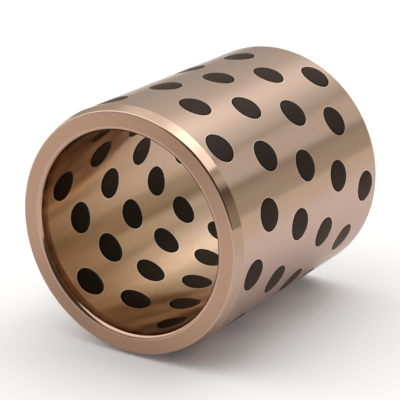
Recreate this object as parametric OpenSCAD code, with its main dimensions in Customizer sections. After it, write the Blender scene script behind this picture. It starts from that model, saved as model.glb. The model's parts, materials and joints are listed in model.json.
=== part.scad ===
// Bronze sleeve bushing with graphite plugs: a plain bearing that needs no oil.
// One turned bronze sleeve is drilled through its wall, and each hole holds a graphite plug.
// The bore runs along Y with the lead-in end at -Y. The origin is the middle of the bore.

/* [Sleeve] */
// Bore diameter, which runs on the shaft
bore_d = 50; // [44:0.5:54]
// Outside diameter, which presses into the housing
outer_d = 62; // [58:0.5:72]
// Length from face to face
sleeve_length = 70; // [50:1:120]

/* [Lead-in end] */
// Length of the taper round the outside
lead_in_length = 3; // [1:0.1:4]
// How far that taper drops at the face, on the radius
lead_in_drop = 0.9; // [0.2:0.1:1.5]
// Radius of the edge between that taper and the face
lead_in_edge_radius = 0.6; // [0.2:0.1:1]
// Length of the shallow taper in the mouth of the bore
mouth_taper_length = 2.8; // [1.5:0.1:3.5]
// How far that taper opens at the face, on the radius
mouth_taper_rise = 0.5; // [0.1:0.05:0.6]
// Radius of the rounded lip between that taper and the face
mouth_lip_radius = 1.3; // [0.3:0.1:1.5]

/* [Back end] */
// Edge break on the outer and inner corner of the back face
back_edge_break = 0.5; // [0.2:0.1:1]

/* [Graphite plugs] */
// Diameter of the drilled plug holes
hole_d = 8; // [5:0.5:9]
// Bond line between a plug and its hole, on the radius
bond_line = 0.05; // [0.02:0.01:0.2]
// Rings of plugs along the sleeve
ring_count = 9; // [2:1:9]
// Plugs in each ring
plugs_per_ring = 6; // [3:1:6]
// From the lead-in face to the first ring's centres
front_margin = 8.5; // [7.5:0.5:14]
// From the last ring's centres to the back face
back_margin = 6.5; // [5.5:0.5:14]
// Turn from each ring to the next, in degrees
ring_turn_angle = 24; // [15:1:45]
// Clock angle of the first plug, from +X towards +Z, in degrees
first_plug_angle = 47.5; // [0:0.5:60]

/* [Hidden] */
$fn = 128;
outer_r = outer_d / 2;
bore_r = bore_d / 2;
front_y = -sleeve_length / 2;
back_y = sleeve_length / 2;
face_outer_r = outer_r - lead_in_drop;
lead_in_angle = atan(lead_in_drop / lead_in_length);
mouth_r = bore_r + mouth_taper_rise;
mouth_taper_angle = atan(mouth_taper_rise / mouth_taper_length);
bore_front_y = front_y + mouth_taper_length;
plug_d = hole_d - 2 * bond_line;
ring_pitch = (sleeve_length - front_margin - back_margin) / (ring_count - 1);
plug_step = 360 / plugs_per_ring;
// A drill cuts from this far inside the bore to as far past the outside
drill_overrun = hole_d / 4;

// From a corner of the lead-in face to where its arc touches the face and the taper there
function corner_reach(radius, taper_angle) = radius * tan(45 - taper_angle / 2);
edge_reach = corner_reach(lead_in_edge_radius, lead_in_angle);
lip_reach = corner_reach(mouth_lip_radius, mouth_taper_angle);
// The arcs run over the tapers by this much, so that each ends in one clean edge
arc_overlap = 0.001;
edge_centre = [face_outer_r - edge_reach + arc_overlap, front_y + lead_in_edge_radius];
lip_centre = [mouth_r + lip_reach - arc_overlap, front_y + mouth_lip_radius];

// Half section of the turned sleeve, as points of radius and place along the bore.
// Its two front corners are notched to the centres of the arcs that round them.
section = [
    [lip_centre[0], front_y],
    [edge_centre[0], front_y],
    edge_centre,
    [face_outer_r, front_y] + edge_reach * [sin(lead_in_angle), cos(lead_in_angle)],
    [outer_r, front_y + lead_in_length],
    [outer_r, back_y - back_edge_break],
    [outer_r - back_edge_break, back_y],
    [bore_r + back_edge_break, back_y],
    [bore_r, back_y - back_edge_break],
    [bore_r, bore_front_y],
    [mouth_r, front_y] + lip_reach * [-sin(mouth_taper_angle), cos(mouth_taper_angle)],
    lip_centre,
];

function ring_y(ring) = front_y + front_margin + (ring - 1) * ring_pitch;
function plug_clock(ring, plug) = first_plug_angle + (ring - 1) * ring_turn_angle + (plug - 1) * plug_step;
function plug_name(ring, plug) = str("plug_ring", ring, "_hole", plug);

// The turned blank, before it is drilled
module turned_blank() {
    rotate([-90, 0, 0])
        rotate_extrude() {
            polygon(section);
            translate(edge_centre)
                circle(r = lead_in_edge_radius);
            translate(lip_centre)
                circle(r = mouth_lip_radius);
        }
}

// A round rod that runs out through the wall at one plug's place
module radial_rod(ring, plug, diameter) {
    translate([0, ring_y(ring), 0])
        rotate([0, 90 - plug_clock(ring, plug), 0])
            translate([0, 0, bore_r - drill_overrun])
                cylinder(d = diameter, h = outer_r - bore_r + 2 * drill_overrun);
}

module sleeve() {
    color("burlywood")
        difference() {
            turned_blank();
            for (ring = [1 : ring_count], plug = [1 : plugs_per_ring])
                radial_rod(ring, plug, hole_d);
        }
}

// A plug is finished with the sleeve, so its ends are flush with the outside and the bore
module graphite_plug(ring, plug) {
    color("dimgray")
        intersection() {
            turned_blank();
            radial_rod(ring, plug, plug_d);
        }
}

sleeve();
for (ring = [1 : ring_count], plug = [1 : plugs_per_ring])
    graphite_plug(ring, plug);
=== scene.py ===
"""Bronze sleeve bushing with graphite plugs: its looks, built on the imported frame, in metres."""

import json
import math
from collections import namedtuple

import bmesh
import bpy
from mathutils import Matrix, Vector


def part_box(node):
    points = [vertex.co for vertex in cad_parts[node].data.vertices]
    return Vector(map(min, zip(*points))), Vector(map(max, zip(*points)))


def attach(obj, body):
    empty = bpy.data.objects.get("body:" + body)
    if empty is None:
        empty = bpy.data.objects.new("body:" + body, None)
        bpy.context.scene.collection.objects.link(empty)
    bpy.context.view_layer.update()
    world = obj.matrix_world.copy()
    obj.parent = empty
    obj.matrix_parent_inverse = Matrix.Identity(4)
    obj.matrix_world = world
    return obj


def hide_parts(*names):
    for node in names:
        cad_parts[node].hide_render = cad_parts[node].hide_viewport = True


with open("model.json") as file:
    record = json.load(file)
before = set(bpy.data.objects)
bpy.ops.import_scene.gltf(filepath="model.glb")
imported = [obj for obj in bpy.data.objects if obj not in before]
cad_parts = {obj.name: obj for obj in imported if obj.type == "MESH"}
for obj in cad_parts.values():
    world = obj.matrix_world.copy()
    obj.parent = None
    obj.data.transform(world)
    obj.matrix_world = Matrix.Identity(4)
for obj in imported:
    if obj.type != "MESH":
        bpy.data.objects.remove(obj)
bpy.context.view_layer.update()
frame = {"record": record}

# Sizes that the frame gives
mounts = {mount["name"]: mount for mount in frame["record"]["mounts"]}
sleeve_low, sleeve_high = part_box("sleeve")
OUTER_R = sleeve_high.x
FRONT_Y = sleeve_low.y
BACK_Y = sleeve_high.y
BORE_R = mounts["bore"]["dims"]["r_mm"] / 1000
BORE_LENGTH = mounts["bore"]["dims"]["length_mm"] / 1000

# Sizes of the two ends, as in the part's source
LEAD_IN_LENGTH = 0.003
LEAD_IN_DROP = 0.0009
LEAD_IN_EDGE_RADIUS = 0.0006
MOUTH_TAPER_RISE = 0.0005
MOUTH_LIP_RADIUS = 0.0013
BACK_EDGE_BREAK = 0.0005
BORE_BACK_Y = BACK_Y - BACK_EDGE_BREAK
BORE_FRONT_Y = BORE_BACK_Y - BORE_LENGTH

# The finer round on every other edge
EDGE_ROUND = 0.00012

# The plug pattern, as in the part's source
RINGS = 9
PLUGS_PER_RING = 6
FIRST_PLUG_ANGLE = math.radians(47.5)
RING_TURN_ANGLE = math.radians(24)
PLUG_STEP = math.tau / PLUGS_PER_RING
HOLE_R = 0.004
BOND_LINE = 0.00005
PLUG_EDGE_ROUND = 0.00022
TONE_SEED = 7


def ring_y(ring):
    """The place along the bore of a ring of plugs, read from the first plug in it."""
    low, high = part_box("plug_ring%d_hole1" % ring)
    return (low.y + high.y) / 2


FIRST_RING_Y = ring_y(1)
RING_PITCH = (ring_y(RINGS) - FIRST_RING_Y) / (RINGS - 1)

# Mesh fineness: steps round the sleeve, a hole and a fine edge, the length of a step on a wider round,
# the gap that is closed at the seam, and the angle past which an edge stays sharp
TURNING_STEPS = 720
HOLE_STEPS = 96
EDGE_STEPS = 3
ROUND_STEP = 0.0001
SEAM_GAP = 1e-7
CREASE_ANGLE = math.radians(40)

# Mesh fineness of a plug's ends: loops inside the edge, as shares of its radius, and steps over the edge
PLUG_END_LOOPS = (0.35, 0.7)
PLUG_EDGE_STEPS = 4


class Tree:
    """A node tree with short calls to add nodes and join them."""

    def __init__(self, tree):
        self.tree = tree

    def put(self, socket, value):
        """Sets an input to a value, or links an output socket to it."""
        if isinstance(value, bpy.types.NodeSocket):
            self.tree.links.new(value, socket)
        else:
            socket.default_value = value

    def node(self, kind, settings=None, **inputs):
        """Adds a node. An input is a value or an output socket, and its name has underscores for spaces."""
        node = self.tree.nodes.new(kind)
        for name, value in (settings or {}).items():
            setattr(node, name, value)
        for name, value in inputs.items():
            self.put(node.inputs[name.replace("_", " ")], value)
        return node

    def math(self, operation, *values):
        """A Math node's result."""
        node = self.tree.nodes.new("ShaderNodeMath")
        node.operation = operation
        for socket, value in zip(node.inputs, values):
            self.put(socket, value)
        return node.outputs[0]

    def length(self, a, b):
        """The straight distance of two steps at right angles."""
        squares = self.math("ADD", self.math("MULTIPLY", a, a), self.math("MULTIPLY", b, b))
        return self.math("SQRT", squares)

    def between(self, share, a, b):
        """The number that lies a share of the way from a to b."""
        return self.math("MULTIPLY_ADD", share, self.math("SUBTRACT", b, a), a)

    def ramp(self, value, low, high, start=0.0, end=1.0, smooth=True):
        """The value's place between low and high, as a number from start to end."""
        kind = "SMOOTHSTEP" if smooth else "LINEAR"
        node = self.node("ShaderNodeMapRange", {"interpolation_type": kind, "clamp": True})
        for name, number in (("From Min", low), ("From Max", high), ("To Min", start), ("To Max", end)):
            self.put(node.inputs[name], number)
        self.put(node.inputs["Value"], value)
        return node.outputs[0]

    def vector(self, x=0.0, y=0.0, z=0.0):
        """A vector made of three numbers."""
        return self.node("ShaderNodeCombineXYZ", X=x, Y=y, Z=z).outputs[0]

    def split(self, vector):
        """The X, Y and Z of a vector."""
        return self.node("ShaderNodeSeparateXYZ", Vector=vector).outputs

    def place(self):
        """The place of a shaded point on its object."""
        return self.node("ShaderNodeTexCoord").outputs["Object"]

    def mix(self, factor, a, b):
        """A blend of two colours."""
        node = self.tree.nodes.new("ShaderNodeMix")
        node.data_type = "RGBA"
        for socket, value in zip((node.inputs[0], node.inputs[6], node.inputs[7]), (factor, a, b)):
            self.put(socket, value)
        return node.outputs[2]

    def bump(self, shader, height, strength, depth):
        """Roughens a shader's surface by a height."""
        bump = self.node("ShaderNodeBump", Height=height, Strength=strength, Distance=depth)
        self.put(shader.inputs["Normal"], bump.outputs[0])


def new_group(name, kind, inputs, outputs):
    """A node group with named sockets, as (Tree, its input node, its output node)."""
    group = bpy.data.node_groups.new(name, kind)
    for label, socket_type in inputs:
        group.interface.new_socket(name=label, in_out="INPUT", socket_type=socket_type)
    for label, socket_type in outputs:
        group.interface.new_socket(name=label, in_out="OUTPUT", socket_type=socket_type)
    tree = Tree(group)
    return tree, tree.node("NodeGroupInput"), tree.node("NodeGroupOutput")


# The plug pattern as inputs of both geometry trees, and their values
PATTERN_INPUTS = [
    ("Rings", "NodeSocketInt"),
    ("Plugs per Ring", "NodeSocketInt"),
    ("First Ring Y", "NodeSocketFloat"),
    ("Ring Pitch", "NodeSocketFloat"),
    ("First Angle", "NodeSocketFloat"),
    ("Ring Turn", "NodeSocketFloat"),
]
PATTERN = {
    "Rings": RINGS,
    "Plugs per Ring": PLUGS_PER_RING,
    "First Ring Y": FIRST_RING_Y,
    "Ring Pitch": RING_PITCH,
    "First Angle": FIRST_PLUG_ANGLE,
    "Ring Turn": RING_TURN_ANGLE,
}


def plug_places(tree, sizes):
    """Points on the bore's axis, one for each plug, and turns that aim the plugs' Z out along the radius."""
    count = tree.math("MULTIPLY", sizes["Rings"], sizes["Plugs per Ring"])
    index = tree.node("GeometryNodeInputIndex").outputs[0]
    ring = tree.math("FLOOR", tree.math("DIVIDE", index, sizes["Plugs per Ring"]))
    plug = tree.math("MODULO", index, sizes["Plugs per Ring"])
    step = tree.math("DIVIDE", math.tau, sizes["Plugs per Ring"])
    angle = tree.math("MULTIPLY_ADD", ring, sizes["Ring Turn"], sizes["First Angle"])
    angle = tree.math("MULTIPLY_ADD", plug, step, angle)
    place = tree.vector(y=tree.math("MULTIPLY_ADD", ring, sizes["Ring Pitch"], sizes["First Ring Y"]))
    points = tree.node("GeometryNodePoints", Count=count, Position=place).outputs[0]
    turn = tree.vector(y=tree.math("SUBTRACT", math.pi / 2, angle))
    return points, turn


def rounded_section(tree, sizes):
    """The half section with each corner rounded by its own radius, as a closed curve."""
    outline = tree.node("GeometryNodeMeshToCurve", Mesh=sizes["Half Section"]).outputs[0]
    corner = tree.node("GeometryNodeInputNamedAttribute", {"data_type": "FLOAT"}, Name="round").outputs[0]
    steps = tree.math("DIVIDE", corner, sizes["Round Step"])
    steps = tree.math("MAXIMUM", steps, sizes["Edge Steps"])
    return tree.node(
        "GeometryNodeFilletCurve", {"mode": "POLY"}, Curve=outline, Radius=corner,
        Count=steps, Limit_Radius=True,
    ).outputs[0]


def turned_section(tree, sizes, section):
    """The mesh that a section makes when it is turned about the bore's axis."""
    domain = tree.node("GeometryNodeAttributeDomainSize", {"component": "CURVE"}, Geometry=section)
    corners = domain.outputs["Point Count"]

    # A grid whose rows follow the section and whose columns go round the bore
    grid = tree.node("GeometryNodeMeshGrid")
    tree.put(grid.inputs["Vertices X"], tree.math("ADD", sizes["Turning Steps"], 1))
    tree.put(grid.inputs["Vertices Y"], tree.math("ADD", corners, 1))
    share = tree.split(grid.outputs["UV Map"])
    row = tree.math("ROUND", tree.math("MULTIPLY", share["Y"], corners))
    row = tree.math("MODULO", row, corners)
    sample = tree.node(
        "GeometryNodeSampleIndex", {"data_type": "FLOAT_VECTOR", "domain": "POINT"}, Geometry=section,
        Value=tree.node("GeometryNodeInputPosition").outputs[0], Index=row,
    )
    point = tree.split(sample.outputs[0])
    angle = tree.math("MULTIPLY", share["X"], math.tau)
    place = tree.vector(
        tree.math("MULTIPLY", point["X"], tree.math("COSINE", angle)),
        point["Y"],
        tree.math("MULTIPLY", point["X"], tree.math("SINE", angle)),
    )
    turned = tree.node("GeometryNodeSetPosition", Geometry=grid.outputs["Mesh"], Position=place).outputs[0]
    return tree.node("GeometryNodeMergeByDistance", Geometry=turned, Distance=SEAM_GAP).outputs[0]


def plug_drills(tree, sizes):
    """The drills, one for each plug, out through one wall."""
    overrun = tree.math("DIVIDE", sizes["Hole Radius"], 2)
    wall = tree.math("SUBTRACT", sizes["Outer Radius"], sizes["Bore Radius"])
    drill = tree.node(
        "GeometryNodeMeshCylinder", Vertices=sizes["Hole Steps"], Radius=sizes["Hole Radius"],
        Depth=tree.math("MULTIPLY_ADD", overrun, 2, wall),
    ).outputs["Mesh"]
    middle = tree.math("DIVIDE", tree.math("ADD", sizes["Outer Radius"], sizes["Bore Radius"]), 2)
    drill = tree.node("GeometryNodeTransform", Geometry=drill, Translation=tree.vector(z=middle)).outputs[0]
    points, turn = plug_places(tree, sizes)
    drills = tree.node("GeometryNodeInstanceOnPoints", Points=points, Instance=drill, Rotation=turn)
    return tree.node("GeometryNodeRealizeInstances", Geometry=drills.outputs[0]).outputs[0]


def smooth_to_rims(tree, mesh):
    """Smooth shading that breaks at the rims of the holes."""
    smooth = tree.node("GeometryNodeSetShadeSmooth", Geometry=mesh, Shade_Smooth=True).outputs[0]
    angle = tree.node("GeometryNodeInputMeshEdgeAngle").outputs[0]
    crease = tree.math("GREATER_THAN", angle, CREASE_ANGLE)
    return tree.node(
        "GeometryNodeSetShadeSmooth", {"domain": "EDGE"}, Geometry=smooth,
        Selection=crease, Shade_Smooth=False,
    ).outputs[0]


def end_tree(tree, result, mesh, material):
    """Ends a geometry tree: instances made real, and the material set."""
    whole = tree.node("GeometryNodeRealizeInstances", Geometry=mesh).outputs[0]
    painted = tree.node("GeometryNodeSetMaterial", Geometry=whole, Material=material).outputs[0]
    tree.put(result.inputs[0], painted)
    return tree.tree


def sleeve_tree():
    """Turns a half section into a sleeve with rounded edges and drills the plug holes."""
    inputs = [
        ("Half Section", "NodeSocketGeometry"),
        ("Edge Steps", "NodeSocketInt"),
        ("Round Step", "NodeSocketFloat"),
        ("Turning Steps", "NodeSocketInt"),
        ("Hole Radius", "NodeSocketFloat"),
        ("Hole Steps", "NodeSocketInt"),
        ("Bore Radius", "NodeSocketFloat"),
        ("Outer Radius", "NodeSocketFloat"),
        ("Material", "NodeSocketMaterial"),
    ]
    tree, given, result = new_group(
        "turned_and_drilled_sleeve", "GeometryNodeTree", inputs + PATTERN_INPUTS,
        [("Sleeve", "NodeSocketGeometry")],
    )
    sizes = given.outputs
    turned = turned_section(tree, sizes, rounded_section(tree, sizes))
    drilled = tree.node("GeometryNodeMeshBoolean", {"operation": "DIFFERENCE", "solver": "MANIFOLD"})
    tree.put(drilled.inputs["Mesh 1"], turned)
    tree.put(drilled.inputs["Mesh 2"], plug_drills(tree, sizes))
    shaded = smooth_to_rims(tree, drilled.outputs["Mesh"])
    return end_tree(tree, result, shaded, sizes["Material"])


def plugs_tree():
    """Sets one plug at each place of the pattern, each with a tone of its own."""
    inputs = [
        ("Plug", "NodeSocketGeometry"),
        ("Seed", "NodeSocketInt"),
        ("Material", "NodeSocketMaterial"),
    ]
    tree, given, result = new_group(
        "graphite_plug_pattern", "GeometryNodeTree", inputs + PATTERN_INPUTS,
        [("Plugs", "NodeSocketGeometry")],
    )
    sizes = given.outputs
    points, turn = plug_places(tree, sizes)
    plugs = tree.node("GeometryNodeInstanceOnPoints", Points=points, Instance=sizes["Plug"], Rotation=turn)
    tone = tree.node("FunctionNodeRandomValue", Seed=sizes["Seed"]).outputs["Value"]
    toned = tree.node(
        "GeometryNodeStoreNamedAttribute", {"domain": "INSTANCE"}, Geometry=plugs.outputs[0],
        Name="tone", Value=tone,
    )
    return end_tree(tree, result, toned.outputs[0], sizes["Material"])


def grow(name, base_mesh, group, values):
    """Runs a geometry tree on a mesh and keeps the result as a plain mesh object at the origin."""
    obj = bpy.data.objects.new(name, base_mesh)
    bpy.context.scene.collection.objects.link(obj)
    modifier = obj.modifiers.new(name, "NODES")
    modifier.node_group = group
    for item in group.interface.items_tree:
        if item.item_type == "SOCKET" and item.in_out == "INPUT" and item.name in values:
            modifier[item.identifier] = values[item.name]
    flat_faces = obj.modifiers.new("flat_faces", "WEIGHTED_NORMAL")
    flat_faces.keep_sharp = True
    depsgraph = bpy.context.evaluated_depsgraph_get()
    mesh = bpy.data.meshes.new_from_object(obj.evaluated_get(depsgraph), depsgraph=depsgraph)
    obj.modifiers.clear()
    obj.data = mesh
    mesh.name = name
    bpy.data.meshes.remove(base_mesh)
    return obj


def half_section_mesh():
    """The sleeve's half section, a loop of edges: X is the radius, Y the place along the bore."""
    corners = [
        (BORE_R + MOUTH_TAPER_RISE, FRONT_Y, MOUTH_LIP_RADIUS),
        (BORE_R, BORE_FRONT_Y, EDGE_ROUND),
        (BORE_R, BORE_BACK_Y, EDGE_ROUND),
        (BORE_R + BACK_EDGE_BREAK, BACK_Y, EDGE_ROUND),
        (OUTER_R - BACK_EDGE_BREAK, BACK_Y, EDGE_ROUND),
        (OUTER_R, BORE_BACK_Y, EDGE_ROUND),
        (OUTER_R, FRONT_Y + LEAD_IN_LENGTH, EDGE_ROUND),
        (OUTER_R - LEAD_IN_DROP, FRONT_Y, LEAD_IN_EDGE_RADIUS),
    ]
    mesh = bpy.data.meshes.new("half_section")
    edges = [(i, (i + 1) % len(corners)) for i in range(len(corners))]
    mesh.from_pydata([(radius, place, 0) for radius, place, _ in corners], edges, [])
    rounds = mesh.attributes.new("round", "FLOAT", "POINT")
    rounds.data.foreach_set("value", [size for _, _, size in corners])
    return mesh


def plug_end_rings():
    """A plug's end from its middle out, as rings: a radius, and a drop below the curved surface."""
    plug_r = HOLE_R - BOND_LINE
    rings = [(plug_r * share, 0.0) for share in PLUG_END_LOOPS]
    for step in range(PLUG_EDGE_STEPS + 1):
        swing = step / PLUG_EDGE_STEPS * math.pi / 2
        inset = PLUG_EDGE_ROUND * (1 - math.sin(swing))
        rings.append((plug_r - inset, PLUG_EDGE_ROUND * (1 - math.cos(swing))))
    return rings


def plug_mesh():
    """One plug along Z from the bore to the outside, with curved ends and rounded edges."""
    mesh = bmesh.new()

    def loop(radius, drop, surface_r, side):
        """A ring of points just under a curved surface: side is 1 for the outside and -1 for the bore."""
        points = []
        for step in range(HOLE_STEPS):
            turn = math.tau * step / HOLE_STEPS
            across = radius * math.sin(turn)
            out = math.sqrt(surface_r ** 2 - across ** 2) - side * drop
            points.append(mesh.verts.new((across, radius * math.cos(turn), out)))
        return points

    rings = plug_end_rings()
    loops = [loop(radius, drop, OUTER_R, 1) for radius, drop in rings]
    loops += [loop(radius, drop, BORE_R, -1) for radius, drop in reversed(rings)]
    for first, second in zip(loops, loops[1:]):
        for step in range(HOLE_STEPS):
            after = (step + 1) % HOLE_STEPS
            mesh.faces.new((first[step], first[after], second[after], second[step]))
    for ends, surface_r in ((loops[0], OUTER_R), (loops[-1], BORE_R)):
        centre = mesh.verts.new((0, 0, surface_r))
        for step in range(HOLE_STEPS):
            mesh.faces.new((centre, ends[step], ends[(step + 1) % HOLE_STEPS]))
    bmesh.ops.recalc_face_normals(mesh, faces=mesh.faces)
    for face in mesh.faces:
        face.smooth = True
    made = bpy.data.meshes.new("plug")
    mesh.to_mesh(made)
    mesh.free()
    return made


def rim_group():
    """Metres from a point on the wall to the nearest plug hole's edge, less than 0 within the hole."""
    tree, given, result = new_group(
        "hole_rim_distance", "ShaderNodeTree", [("Hole Radius", "NodeSocketFloat")],
        [("Distance", "NodeSocketFloat")],
    )
    x, y, z = tree.split(tree.place())
    radius = tree.length(x, z)
    clock = tree.math("ARCTAN2", z, x)
    ring = tree.math("DIVIDE", tree.math("SUBTRACT", y, FIRST_RING_Y), RING_PITCH)
    near = tree.math("ROUND", ring)
    gaps = []
    for neighbour in (-1, 0, 1):
        this_ring = tree.math("ADD", near, neighbour)
        this_ring = tree.math("MINIMUM", tree.math("MAXIMUM", this_ring, 0), RINGS - 1)
        along = tree.math("MULTIPLY", tree.math("SUBTRACT", ring, this_ring), RING_PITCH)
        start = tree.math("MULTIPLY_ADD", this_ring, RING_TURN_ANGLE, FIRST_PLUG_ANGLE)
        swing = tree.math("SUBTRACT", clock, start)
        swing = tree.math("WRAP", swing, PLUG_STEP / 2, -PLUG_STEP / 2)
        across = tree.math("MULTIPLY", radius, tree.math("SINE", swing))
        gaps.append(tree.math("SUBTRACT", tree.length(along, across), given.outputs["Hole Radius"]))
    before, here, after = gaps
    tree.put(result.inputs[0], tree.math("MINIMUM", tree.math("MINIMUM", before, here), after))
    return tree.tree


# The lathe's lines and the streaks in the bore, as noise: how close they lie and how much they break up
LINES_PER_METRE = 7000.0
LINE_DRIFT = 1.5
LINE_DETAIL = 2.0
STREAK_CHANGE = 6.0
STREAK_SCALE = 11.0
STREAK_DETAIL = 3.0


def turning_group():
    """Fine lines that the lathe leaves round the bore's axis, and broader streaks that run along it."""
    tree, given, result = new_group(
        "turning_lines", "ShaderNodeTree",
        [("Lines per Metre", "NodeSocketFloat"), ("Drift", "NodeSocketFloat")],
        [("Lines", "NodeSocketFloat"), ("Streaks", "NodeSocketFloat")],
    )
    x, y, z = tree.split(tree.place())
    radius = tree.length(x, z)
    side = tree.math("DIVIDE", x, radius)
    up = tree.math("DIVIDE", z, radius)
    drift = given.outputs["Drift"]
    along = tree.math("MULTIPLY", tree.math("ADD", y, radius), given.outputs["Lines per Metre"])
    spot = tree.vector(along, tree.math("MULTIPLY", side, drift), tree.math("MULTIPLY", up, drift))
    lines = tree.node("ShaderNodeTexNoise", Vector=spot, Scale=1.0, Detail=LINE_DETAIL)
    spot = tree.vector(tree.math("MULTIPLY", y, STREAK_CHANGE), side, up)
    streaks = tree.node("ShaderNodeTexNoise", Vector=spot, Scale=STREAK_SCALE, Detail=STREAK_DETAIL)
    tree.put(result.inputs["Lines"], lines.outputs[0])
    tree.put(result.inputs["Streaks"], streaks.outputs[0])
    return tree.tree


def new_material(name):
    """A material with a Principled shader, as (material, Tree, shader node)."""
    material = bpy.data.materials.new(name)
    material.use_nodes = True
    tree = Tree(material.node_tree)
    return material, tree, material.node_tree.nodes["Principled BSDF"]


def use_group(tree, group, **inputs):
    """Places a shader group in a material."""
    return tree.node("ShaderNodeGroup", {"node_tree": group}, **inputs)


def past(edge, distances):
    """Places at two distances past an edge."""
    return [edge + distance for distance in distances]


# Part of the turning lines' range that roughness follows
LINE_RANGE = (0.3, 0.7)

# Colours of the bronze by finish, with painted shade in the mouth and its taper and partly on the end faces,
# a painted highlight partly in the pale rims at the plugs, and how much of its edge-on gleam it keeps
BRONZE_OUTSIDE = (0.525, 0.375, 0.312, 1)
BRONZE_BORE = (0.545, 0.384, 0.297, 1)
# Painted shade: the bronze at the mouth is browner and darker than deeper in the bore
BRONZE_MOUTH_SHADE = (0.55, 0.34, 0.182, 1)
# Painted shade: the darker brown band on the mouth taper
BRONZE_TAPER_SHADE = (0.48, 0.268, 0.138, 1)
BRONZE_STREAK = (0.46, 0.315, 0.19, 1)
BRONZE_TURNED = (0.49, 0.342, 0.272, 1)
# Partly a duller faced finish, partly painted shade for the dimmer front that the end faces reflect
BRONZE_FACED_AND_SHADED = (0.465, 0.288, 0.205, 1)
# Partly burnished bronze, partly a painted highlight: the pale rim round each plug
BRONZE_BURNISH_AND_HIGHLIGHT = (0.68, 0.53, 0.46, 1)
BRONZE_EDGE_ON = (0.86, 0.79, 0.76, 1)

# Where one finish or painted shade of the bronze blends into the next, measured from the outer or the bore
# radius
OUTSIDE_BLEND = (-0.0001, -0.00003)
BORE_BLEND = (0.0001, 0.0003)
TAPER_SHADE_BLEND = (0.0003, 0.00045)
LIP_BLEND = (0.0018, 0.0022)

# The same along the bore: from the bore's front, the sleeve's front (where the painted shade of the mouth
# fades into the bore) and the nearer end
TAPER_SHADE_END_BLEND = (-0.00005, 0.00005)
MOUTH_SHADE_BLEND = (0.009, 0.059)
LIP_END_BLEND = (0.0003, 0.0007)
FACE_BLEND = (0.000004, 0.000015)

# The same from the rim of a plug hole, for the burnished rim with its painted highlight
BURNISH_HIGHLIGHT_BLEND = (0.0001, 0.0004)

# Part of the streaks' range that shows, and the most that streaks, the lip's faced colour with its painted
# shade, and the burnished rim with its painted highlight cover
STREAK_RANGE = (0.35, 0.65)
STREAK_SHARE = 0.3
LIP_SHARE = 0.5
BURNISH_HIGHLIGHT_SHARE = 0.7

# Roughness of the bronze over the turning lines, what each finish adds, and the lines' bump as strength
# and depth. The gleam is drawn out across the lines, a quarter turn from them.
BRONZE_ROUGHNESS = (0.11, 0.13)
BRONZE_ROUGHER = {"outside": 0.02, "bore": 0.10, "face": 0.20}
BRONZE_BUMP = (0.02, 0.00001)
QUARTER_TURN = 0.25


def bronze_zones(tree):
    """How much each finish of the bronze covers a point, with the painted shade of the mouth, the taper and
    the faces, and the share of the way from the mouth's painted shade to the bore.
    """
    x, y, z = tree.split(tree.place())
    radius = tree.length(x, z)
    from_end = tree.math("SUBTRACT", BACK_Y, tree.math("ABSOLUTE", y))
    face = tree.ramp(from_end, *FACE_BLEND, 1.0, 0.0)
    lip = tree.ramp(radius, *past(BORE_R, LIP_BLEND), LIP_SHARE, 0.0)
    lip = tree.math("MULTIPLY", lip, tree.ramp(from_end, *LIP_END_BLEND, 1.0, 0.0))
    taper = tree.ramp(radius, *past(BORE_R, TAPER_SHADE_BLEND), 1.0, 0.0)
    before_bore = tree.ramp(y, *past(BORE_FRONT_Y, TAPER_SHADE_END_BLEND), 1.0, 0.0)
    return {
        "outside": tree.ramp(radius, *past(OUTER_R, OUTSIDE_BLEND)),
        "bore": tree.ramp(radius, *past(BORE_R, BORE_BLEND), 1.0, 0.0),
        "mouth_shade_to_bore": tree.ramp(y, *past(FRONT_Y, MOUTH_SHADE_BLEND), smooth=False),
        "taper": tree.math("MULTIPLY", taper, before_bore),
        "face": face,
        "faced_finish_and_shade": tree.math("MAXIMUM", face, lip),
    }


def bronze_colour(tree, zones, finish, rim):
    """The bronze's colour, one finish over another, with painted shade at the mouth, the taper and the end
    faces and a painted highlight at the plug rims.
    """
    colour = tree.mix(zones["outside"], BRONZE_TURNED, BRONZE_OUTSIDE)
    # Painted shade at the mouth, fading into the bore's own colour
    bore = tree.mix(zones["mouth_shade_to_bore"], BRONZE_MOUTH_SHADE, BRONZE_BORE)
    streaks = tree.ramp(finish.outputs["Streaks"], *STREAK_RANGE, 0.0, STREAK_SHARE)
    bore = tree.mix(streaks, bore, BRONZE_STREAK)
    colour = tree.mix(zones["bore"], colour, bore)
    # Painted shade over the mouth taper
    colour = tree.mix(zones["taper"], colour, BRONZE_TAPER_SHADE)
    # The end faces and part of the lip: faced finish with painted shade
    colour = tree.mix(zones["faced_finish_and_shade"], colour, BRONZE_FACED_AND_SHADED)
    # A pale rim round each plug: burnished, with a painted highlight
    burnish_and_highlight = tree.ramp(rim.outputs["Distance"], *BURNISH_HIGHLIGHT_BLEND, BURNISH_HIGHLIGHT_SHARE, 0.0)
    return tree.mix(burnish_and_highlight, colour, BRONZE_BURNISH_AND_HIGHLIGHT)


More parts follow.
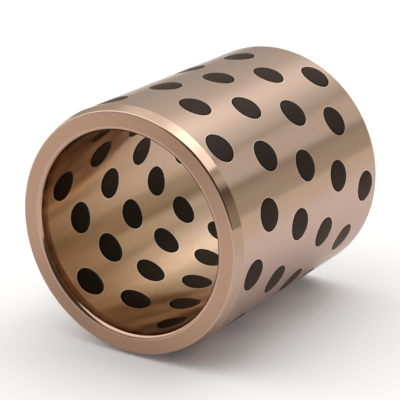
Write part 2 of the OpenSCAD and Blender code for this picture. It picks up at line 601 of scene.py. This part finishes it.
def bronze_material(rims, turning):
    """Turned bronze: smooth outside, bright bore and lead-in taper, painted shade browning the mouth and its
    taper and partly dulling the end faces, burnished rims at the plugs with a painted highlight.
    """
    material, tree, shader = new_material("turned_bronze")
    finish = use_group(tree, turning, Lines_per_Metre=LINES_PER_METRE, Drift=LINE_DRIFT)
    rim = use_group(tree, rims, Hole_Radius=HOLE_R)
    zones = bronze_zones(tree)
    tree.put(shader.inputs["Base Color"], bronze_colour(tree, zones, finish, rim))
    shader.inputs["Metallic"].default_value = 1.0
    rough = tree.ramp(finish.outputs["Lines"], *LINE_RANGE, *BRONZE_ROUGHNESS)
    for zone, added in BRONZE_ROUGHER.items():
        rough = tree.math("MULTIPLY_ADD", zones[zone], added, rough)
    tree.put(shader.inputs["Roughness"], rough)
    shader.inputs["Specular Tint"].default_value = BRONZE_EDGE_ON
    shader.inputs["Anisotropic"].default_value = 1.0
    shader.inputs["Anisotropic Rotation"].default_value = QUARTER_TURN
    round_axis = tree.node("ShaderNodeTangent", {"direction_type": "RADIAL", "axis": "Y"})
    tree.put(shader.inputs["Tangent"], round_axis.outputs[0])
    tree.bump(shader, finish.outputs["Lines"], *BRONZE_BUMP)
    return material


# Colours of the graphite, and how much of its edge-on gleam it keeps
GRAPHITE = (0.024, 0.019, 0.0195, 1)
GRAPHITE_BROWN = (0.033, 0.026, 0.026, 1)
# Darker at the plug ends in the bore
GRAPHITE_BORE_END = (0.014, 0.011, 0.0085, 1)
GRAPHITE_EDGE_ON = (0.78, 0.68, 0.62, 1)
BOND_BLACK = (0.006, 0.003, 0.002, 1)

# Grain of the graphite: its noise, its share of the tone, and its bump: strength and depth
GRAIN_SCALE = 1400.0
GRAIN_DETAIL = 3.0
GRAIN_SHARE = 0.5
GRAIN_BUMP = (0.1, 0.00002)

# Where the darker plug end in the bore fades out, where the bond line starts, and the roughness
BORE_END_BLEND = (0.0004, 0.001)
BOND_BLEND = (-0.0005, -0.0002)
GRAPHITE_ROUGHNESS = (0.38, 0.46)


def graphite_material(rims, turning):
    """Dull charcoal graphite with a fine grain, darker in the bore and where it is bonded in."""
    material, tree, shader = new_material("graphite")
    finish = use_group(tree, turning, Lines_per_Metre=LINES_PER_METRE, Drift=LINE_DRIFT)
    rim = use_group(tree, rims, Hole_Radius=HOLE_R)
    tone = tree.node("ShaderNodeAttribute", {"attribute_name": "tone"}).outputs["Fac"]
    place = tree.place()
    grain = tree.node("ShaderNodeTexNoise", Vector=place, Scale=GRAIN_SCALE, Detail=GRAIN_DETAIL).outputs[0]
    colour = tree.mix(tree.between(GRAIN_SHARE, tone, grain), GRAPHITE, GRAPHITE_BROWN)
    x, _, z = tree.split(place)
    # Darker towards the plug ends in the bore
    bore_end = tree.ramp(tree.length(x, z), *past(BORE_R, BORE_END_BLEND), 1.0, 0.0)
    colour = tree.mix(bore_end, colour, GRAPHITE_BORE_END)
    bond = tree.ramp(rim.outputs["Distance"], *BOND_BLEND)
    colour = tree.mix(bond, colour, BOND_BLACK)
    tree.put(shader.inputs["Base Color"], colour)
    shader.inputs["Metallic"].default_value = 1.0
    shader.inputs["Specular Tint"].default_value = GRAPHITE_EDGE_ON
    rough = tree.ramp(finish.outputs["Lines"], *LINE_RANGE, *GRAPHITE_ROUGHNESS)
    tree.put(shader.inputs["Roughness"], rough)
    tree.bump(shader, grain, *GRAIN_BUMP)
    return material


def make_sleeve(material):
    """The bronze sleeve, turned and drilled."""
    sizes = {
        **PATTERN,
        "Edge Steps": EDGE_STEPS,
        "Round Step": ROUND_STEP,
        "Turning Steps": TURNING_STEPS,
        "Hole Radius": HOLE_R,
        "Hole Steps": HOLE_STEPS,
        "Bore Radius": BORE_R,
        "Outer Radius": OUTER_R,
        "Material": material,
    }
    sleeve = grow("sleeve_turned", half_section_mesh(), sleeve_tree(), sizes)
    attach(sleeve, "root")
    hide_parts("sleeve")


def make_plugs(material):
    """The graphite plugs, all in one mesh."""
    sizes = {**PATTERN, "Seed": TONE_SEED, "Material": material}
    plugs = grow("graphite_plugs", plug_mesh(), plugs_tree(), sizes)
    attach(plugs, "root")
    numbers = [(ring, hole) for ring in range(1, RINGS + 1) for hole in range(1, PLUGS_PER_RING + 1)]
    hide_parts(*("plug_ring%d_hole%d" % pair for pair in numbers))


# Where the photograph was taken from, and its lens and sensor in millimetres
CAMERA_PLACE = (0.21199, -0.33725, 0.13649)
CAMERA_AZIMUTH = math.radians(32.306)
CAMERA_ELEVATION = math.radians(19.110)
CAMERA_LENS = 149.70
CAMERA_SENSOR = 36
CAMERA_NEAREST = 0.01


def make_camera():
    """The camera of the photograph."""
    data = bpy.data.cameras.new("camera")
    data.sensor_width = CAMERA_SENSOR
    data.lens = CAMERA_LENS
    data.clip_start = CAMERA_NEAREST
    camera = bpy.data.objects.new("camera", data)
    camera.location = CAMERA_PLACE
    camera.rotation_euler = (math.pi / 2 - CAMERA_ELEVATION, 0, CAMERA_AZIMUTH)
    bpy.context.scene.collection.objects.link(camera)
    bpy.context.scene.camera = camera


# The floor: its size, its colours, where it turns warm on the right, and its own share of white
FLOOR_HALF = 3.0
FLOOR_COLOUR = (0.95, 0.93, 0.985, 1)
FLOOR_WARM = (0.81, 0.775, 0.70, 1)
FLOOR_WARM_FROM = (0.06, 0.18)
FLOOR_ROUGHNESS = 0.9
FLOOR_WHITE = (1.0, 1.0, 1.08, 1)
FLOOR_GLOW = 0.06


def floor_material():
    """Dull pale floor, warmer towards the right wall, with a faint glow where it is seen."""
    material, tree, shader = new_material("floor")
    x = tree.split(tree.place())["X"]
    tree.put(shader.inputs["Base Color"], tree.mix(tree.ramp(x, *FLOOR_WARM_FROM), FLOOR_COLOUR, FLOOR_WARM))
    shader.inputs["Roughness"].default_value = FLOOR_ROUGHNESS
    shader.inputs["Specular IOR Level"].default_value = 0.0
    ray = tree.node("ShaderNodeLightPath").outputs
    seen = tree.math("MAXIMUM", ray["Is Camera Ray"], ray["Is Glossy Ray"])
    seen = tree.math("MAXIMUM", seen, ray["Is Transmission Ray"])
    white = tree.node("ShaderNodeEmission", Color=FLOOR_WHITE, Strength=1.0).outputs[0]
    surface = tree.node("ShaderNodeMixShader", Fac=tree.math("MULTIPLY", seen, FLOOR_GLOW))
    tree.put(surface.inputs[1], shader.outputs[0])
    tree.put(surface.inputs[2], white)
    tree.put(material.node_tree.nodes["Material Output"].inputs["Surface"], surface.outputs[0])
    return material


def make_floor():
    """A plain floor that the sleeve lies on."""
    mesh = bpy.data.meshes.new("floor")
    corners = [(-1, -1), (1, -1), (1, 1), (-1, 1)]
    mesh.from_pydata([(x * FLOOR_HALF, y * FLOOR_HALF, -OUTER_R) for x, y in corners], [], [(0, 1, 2, 3)])
    mesh.materials.append(floor_material())
    floor = bpy.data.objects.new("floor", mesh)
    bpy.context.scene.collection.objects.link(floor)


# A direction in the studio, and where it meets a flat ceiling at a height of 1: to the right, to the back
# and across the slanted row of lamps. Below, a pair is where a change starts and ends, or the light there.
Direction = namedtuple("Direction", "x y z right back across")

# A direction that is flatter, or goes down, is taken to rise this much
LOWEST_HEIGHT = 0.02

# The ceiling, which dims with distance, and its far right corner
CEILING_REACH = (0.4, 1.5)
CEILING_LIGHT = (1.45, 0.84)
FAR_CORNER_BACK = (1.45, 1.9)
FAR_CORNER_RIGHT = (0.05, 0.35)
FAR_CORNER_LIGHT = 0.66

# The row of lamps under it: slanted about a point at the back, soft on the left, sharper on the right
LAMP_REACH = (0.4, 1.45)
LAMP_LIGHT = (1.75, 0.3)
LAMP_SLANT = 0.37
LAMP_PIVOT = 0.45
LAMP_LEFT = (-0.2, 0.25)
LAMP_FADE = (0.25, 0.65)
LAMP_FADED = 0.4
LAMP_RIGHT = 1.0
LAMP_EDGE_REACH = (0.5, 1.4)
LAMP_EDGE_WIDTH = (0.07, 0.45)

# The wall on the left
LEFT_WALL_RIGHT = (-1.3, -0.6)
LEFT_WALL_Y = (0.1, 0.45)
LEFT_WALL_Z = (0.0, 0.35)
LEFT_WALL_LIGHT = (0.50, 0.72)

# The shelf past the lamps on the right
SHELF_START = 0.95
SHELF_ACROSS = (1.08, 1.35)
SHELF_LIGHT = (0.60, 0.86)
SHELF_WARMTH = 0.5

# The dim warm wall on the right
RIGHT_WALL_RIGHT = (1.2, 1.85)
RIGHT_WALL_SLANT = -0.11
RIGHT_WALL_Y = (0.0, 0.8)
RIGHT_WALL_LIGHT = (0.36, 0.64)
RIGHT_WALL_Z = (0.1, 0.45)
RIGHT_WALL_TOP = 0.36

# The front of the room: bright ceiling on the left, dark on the right, dim low down, dark round the camera
FRONT_BACK = (-0.1, 0.3)
LEFT_FRONT_RIGHT = (-0.2, 0.1)
LEFT_FRONT_BACK = (-1.3, -0.4)
LEFT_FRONT_LIGHT = 1.85
RIGHT_FRONT_RIGHT = (0.12, 0.45)
RIGHT_FRONT_LIGHT = 0.14
LOW_FRONT_Y = (-0.9, -0.5)
LOW_FRONT_Z = (0.2, 0.6)
LOW_FRONT_LIGHT = 0.22
DARK_DIRECTION = (0.36, -0.86, 0.36)
DARK_FACING = (0.74, 0.85)
DARK_LIGHT = 0.08

# Tints of the light, and the levels between which it turns to the dark tint
CEILING_TINT = (1.0, 1.02, 0.95, 1)
WALL_TINT = (1.0, 0.95, 0.78, 1)
DARK_TINT = (1.0, 0.86, 0.62, 1)
DARK_TINT_LIGHT = (0.1, 0.7)


def studio_direction(tree):
    """The direction in which a ray leaves the scene."""
    x, y, z = tree.split(tree.node("ShaderNodeTexCoord").outputs["Generated"])
    height = tree.math("MAXIMUM", z, LOWEST_HEIGHT)
    right = tree.math("DIVIDE", x, height)
    back = tree.math("DIVIDE", y, height)
    across = tree.math("MULTIPLY_ADD", tree.math("SUBTRACT", back, LAMP_PIVOT), LAMP_SLANT, right)
    return Direction(x, y, z, right, back, across)


def ceiling_light(tree, at):
    """The light of the ceiling and its lamps, which dim with distance."""
    reach = tree.math("ABSOLUTE", at.back)
    ceiling = tree.ramp(reach, *CEILING_REACH, *CEILING_LIGHT, smooth=False)
    lamp = tree.ramp(reach, *LAMP_REACH, *LAMP_LIGHT, smooth=False)
    edge_width = tree.ramp(reach, *LAMP_EDGE_REACH, *LAMP_EDGE_WIDTH, smooth=False)
    edge_start = tree.math("SUBTRACT", LAMP_RIGHT, edge_width)
    glow = tree.ramp(at.across, *LAMP_LEFT)
    glow = tree.math("MULTIPLY", glow, tree.ramp(at.across, *LAMP_FADE, 1.0, LAMP_FADED))
    glow = tree.math("MULTIPLY", glow, tree.ramp(at.across, edge_start, LAMP_RIGHT, 1.0, 0.0))
    light = tree.math("MULTIPLY_ADD", lamp, glow, ceiling)
    corner = tree.ramp(at.back, *FAR_CORNER_BACK)
    corner = tree.math("MULTIPLY", corner, tree.ramp(at.right, *FAR_CORNER_RIGHT))
    return tree.between(corner, light, FAR_CORNER_LIGHT)


def walls_light(tree, at, light):
    """The light with the wall on the left, and the shelf and wall on the right, and how warm it is."""
    left_wall = tree.ramp(at.right, *LEFT_WALL_RIGHT, 1.0, 0.0)
    left_wall = tree.math("MULTIPLY", left_wall, tree.ramp(at.y, *LEFT_WALL_Y))
    light = tree.between(left_wall, light, tree.ramp(at.z, *LEFT_WALL_Z, *LEFT_WALL_LIGHT, smooth=False))
    shelf = tree.ramp(at.across, SHELF_START, LAMP_RIGHT)
    light = tree.between(shelf, light, tree.ramp(at.across, *SHELF_ACROSS, *SHELF_LIGHT))
    right_wall = tree.math("MULTIPLY_ADD", at.back, RIGHT_WALL_SLANT, at.right)
    right_wall = tree.ramp(right_wall, *RIGHT_WALL_RIGHT)
    level = tree.ramp(at.y, *RIGHT_WALL_Y, *RIGHT_WALL_LIGHT, smooth=False)
    level = tree.math("MULTIPLY", level, tree.ramp(at.z, *RIGHT_WALL_Z, 1.0, RIGHT_WALL_TOP))
    light = tree.between(right_wall, light, level)
    warm = tree.math("MAXIMUM", right_wall, tree.math("MULTIPLY", shelf, SHELF_WARMTH))
    return light, warm


def front_light(tree, at, light):
    """The light with the front of the room."""
    front = tree.ramp(at.back, *FRONT_BACK, 1.0, 0.0)
    left_front = tree.math("MULTIPLY", tree.ramp(at.right, *LEFT_FRONT_RIGHT, 1.0, 0.0), front)
    left_front = tree.math("MULTIPLY", left_front, tree.ramp(at.back, *LEFT_FRONT_BACK))
    light = tree.between(left_front, light, LEFT_FRONT_LIGHT)
    right_front = tree.math("MULTIPLY", tree.ramp(at.right, *RIGHT_FRONT_RIGHT), front)
    light = tree.between(right_front, light, RIGHT_FRONT_LIGHT)
    low_front = tree.ramp(at.y, *LOW_FRONT_Y, 1.0, 0.0)
    low_front = tree.math("MULTIPLY", low_front, tree.ramp(at.z, *LOW_FRONT_Z, 1.0, 0.0))
    light = tree.between(low_front, light, LOW_FRONT_LIGHT)
    dark_x, dark_y, dark_z = DARK_DIRECTION
    facing = tree.math("MULTIPLY_ADD", at.y, dark_y, tree.math("MULTIPLY", at.z, dark_z))
    facing = tree.math("MULTIPLY_ADD", at.x, dark_x, facing)
    return tree.between(tree.ramp(facing, *DARK_FACING), light, DARK_LIGHT)


def make_studio():
    """A soft studio by direction: pale ceiling, a row of lamps, a dim right wall and a dark camera side."""
    world = bpy.data.worlds.new("studio")
    bpy.context.scene.world = world
    world.use_nodes = True
    tree = Tree(world.node_tree)
    at = studio_direction(tree)
    light, warm = walls_light(tree, at, ceiling_light(tree, at))
    light = front_light(tree, at, light)
    tint = tree.mix(warm, CEILING_TINT, WALL_TINT)
    tint = tree.mix(tree.ramp(light, *DARK_TINT_LIGHT, 1.0, 0.0), tint, DARK_TINT)
    background = world.node_tree.nodes["Background"]
    tree.put(background.inputs["Color"], tint)
    tree.put(background.inputs["Strength"], light)


rims = rim_group()
turning = turning_group()
make_camera()
make_floor()
make_studio()
make_sleeve(bronze_material(rims, turning))
make_plugs(graphite_material(rims, turning))
bpy.context.scene.view_settings.view_transform = "Standard"
